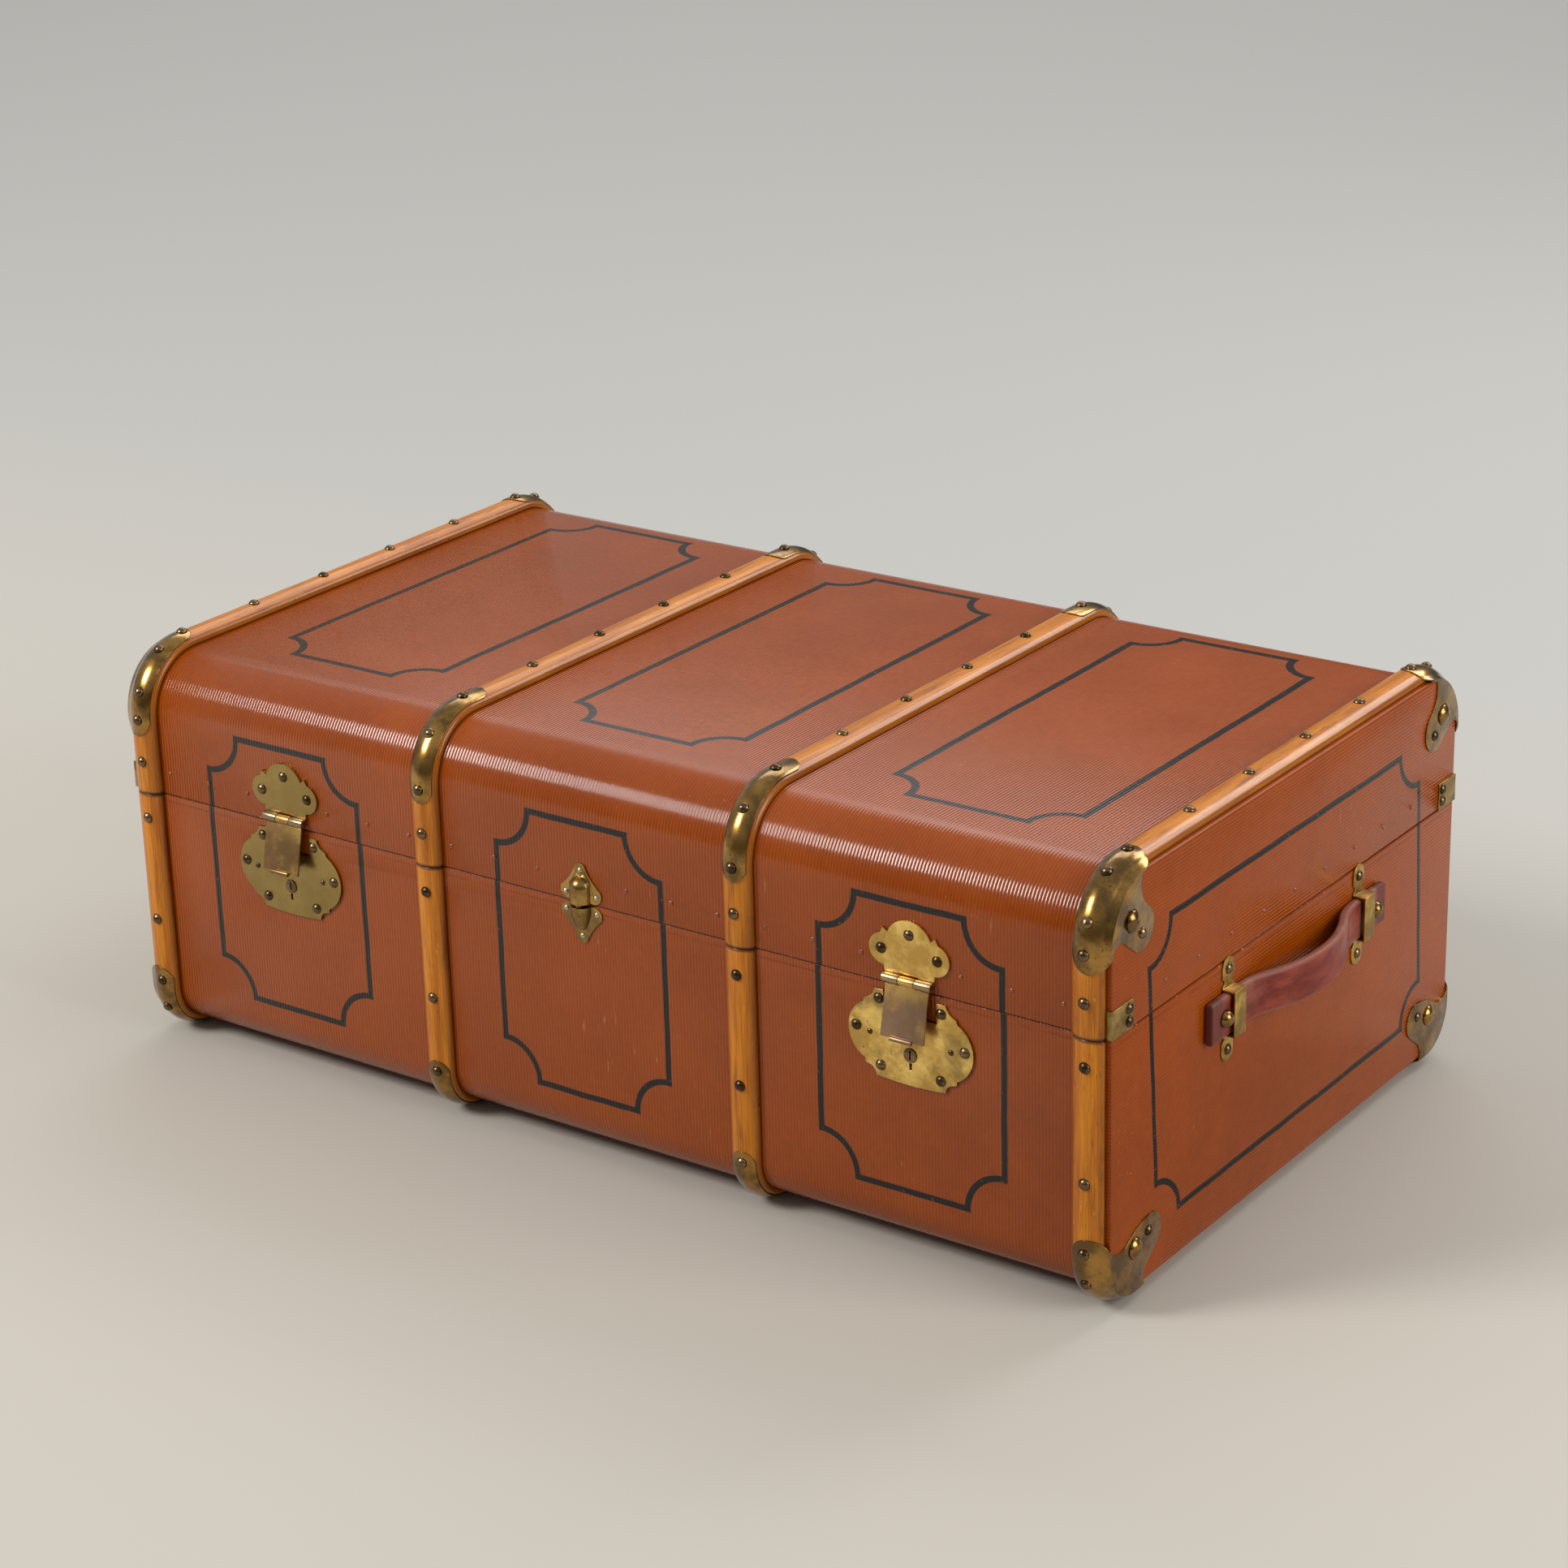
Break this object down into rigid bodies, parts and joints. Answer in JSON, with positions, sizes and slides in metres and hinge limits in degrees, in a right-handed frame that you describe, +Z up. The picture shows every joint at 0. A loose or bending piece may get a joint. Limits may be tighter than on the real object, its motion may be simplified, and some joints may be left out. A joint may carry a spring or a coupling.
{
  "type": "cabin trunk",
  "caption": "Wood-bound cabin trunk with a hinged lid, bentwood hoops, brass corner caps, hasp locks and leather end handles.",
  "frame": {"origin": "floor level, at the middle of the trunk's length and depth", "axes": "+X along the length towards the right end as seen from the front, -Y out of the front with the locks, +Z up"},
  "size_m": [1.0666, 0.6104, 0.3754],
  "materials": {
    "covered_board": "satin, ribbed painted covering on board",
    "bentwood": "worn varnish",
    "lining_cloth": "matte, faded",
    "aged_brass": "aged, rubbed bright on edges",
    "dark_steel": "aged",
    "oxblood_leather": "worn, waxed"
  },
  "bodies": {
    "base": {"base_wrap": "covered_board", "base_left_end": "covered_board", "base_right_end": "covered_board", "base_lining": "lining_cloth", "base_hoop_left_end": "bentwood", "base_hoop_left_inner": "bentwood", "base_hoop_right_inner": "bentwood", "base_hoop_right_end": "bentwood", "base_strap_caps": "aged_brass", "base_corner_cap_front_left": "aged_brass", "base_corner_cap_front_right": "aged_brass", "base_corner_cap_back_left": "aged_brass", "base_corner_cap_back_right": "aged_brass", "lock_plate_left": "aged_brass", "lock_plate_right": "aged_brass", "lock_case_left": "dark_steel", "lock_case_right": "dark_steel", "dowel_tongue": "aged_brass", "handle_loops_left": "aged_brass", "handle_loops_right": "aged_brass", "base_hinge_leaves": "dark_steel", "hinge_pins": "dark_steel", "base_nails": "dark_steel", "floor_nails": "dark_steel", "base_plate_nails": "dark_steel", "base_corner_studs": "aged_brass"},
    "lid": {"lid_wrap": "covered_board", "lid_left_end": "covered_board", "lid_right_end": "covered_board", "lid_lining": "lining_cloth", "lid_lip_ring": "covered_board", "lid_hoop_left_end": "bentwood", "lid_hoop_left_inner": "bentwood", "lid_hoop_right_inner": "bentwood", "lid_hoop_right_end": "bentwood", "lid_strap_caps": "aged_brass", "lid_corner_cap_front_left": "aged_brass", "lid_corner_cap_front_right": "aged_brass", "lid_corner_cap_back_left": "aged_brass", "lid_corner_cap_back_right": "aged_brass", "hasp_lid_plate_left": "aged_brass", "hasp_lid_plate_right": "aged_brass", "hasp_pins": "dark_steel", "dowel_socket": "aged_brass", "lid_end_clamps": "aged_brass", "lid_hinge_leaves": "dark_steel", "lid_nails": "dark_steel", "lid_edge_rivets": "aged_brass", "lid_plate_nails": "dark_steel", "lid_corner_studs": "aged_brass"},
    "hasp_left": {"hasp_left": "aged_brass"},
    "key_plug_left": {"key_plug_left": "aged_brass"},
    "lock_bolt_left": {"lock_bolt_left": "dark_steel"},
    "handle_left": {"handle_strap_left": "oxblood_leather", "handle_studs_left": "aged_brass"},
    "hasp_right": {"hasp_right": "aged_brass"},
    "key_plug_right": {"key_plug_right": "aged_brass"},
    "lock_bolt_right": {"lock_bolt_right": "dark_steel"},
    "handle_right": {"handle_strap_right": "oxblood_leather", "handle_studs_right": "aged_brass"}
  },
  "joints": [
    {"name": "lid_hinge", "type": "hinge", "parent": "base", "child": "lid", "pos_m": [0, 0.301, 0.23825], "axis": [-1, 0, 0], "range_deg": [0, 100]},
    {"name": "hasp_swing_left", "type": "hinge", "parent": "lid", "child": "hasp_left", "pos_m": [-0.323, -0.2925, 0.2455], "axis": [-1, 0, 0], "range_deg": [-12, 138]},
    {"name": "key_turn_left", "type": "hinge", "parent": "base", "child": "key_plug_left", "pos_m": [-0.323, -0.288, 0.182], "axis": [0, -1, 0], "range_deg": [0, 90]},
    {"name": "bolt_throw_left", "type": "slide", "parent": "base", "child": "lock_bolt_left", "axis": [-1, 0, 0], "range_m": [0, 0.0085]},
    {"name": "handle_pull_left", "type": "slide", "parent": "base", "child": "handle_left", "axis": [-1, 0, 0], "range_m": [0, 0.003]},
    {"name": "hasp_swing_right", "type": "hinge", "parent": "lid", "child": "hasp_right", "pos_m": [0.323, -0.2925, 0.2455], "axis": [-1, 0, 0], "range_deg": [-12, 138]},
    {"name": "key_turn_right", "type": "hinge", "parent": "base", "child": "key_plug_right", "pos_m": [0.323, -0.288, 0.182], "axis": [0, -1, 0], "range_deg": [0, 90]},
    {"name": "bolt_throw_right", "type": "slide", "parent": "base", "child": "lock_bolt_right", "axis": [-1, 0, 0], "range_m": [0, 0.0085]},
    {"name": "handle_pull_right", "type": "slide", "parent": "base", "child": "handle_right", "axis": [1, 0, 0], "range_m": [0, 0.003]}
  ],
  "couplings": [
    {"joint": "bolt_throw_left", "follows": "key_turn_left", "m_per_rad": 0.0054113},
    {"joint": "bolt_throw_right", "follows": "key_turn_right", "m_per_rad": 0.0054113}
  ]
}
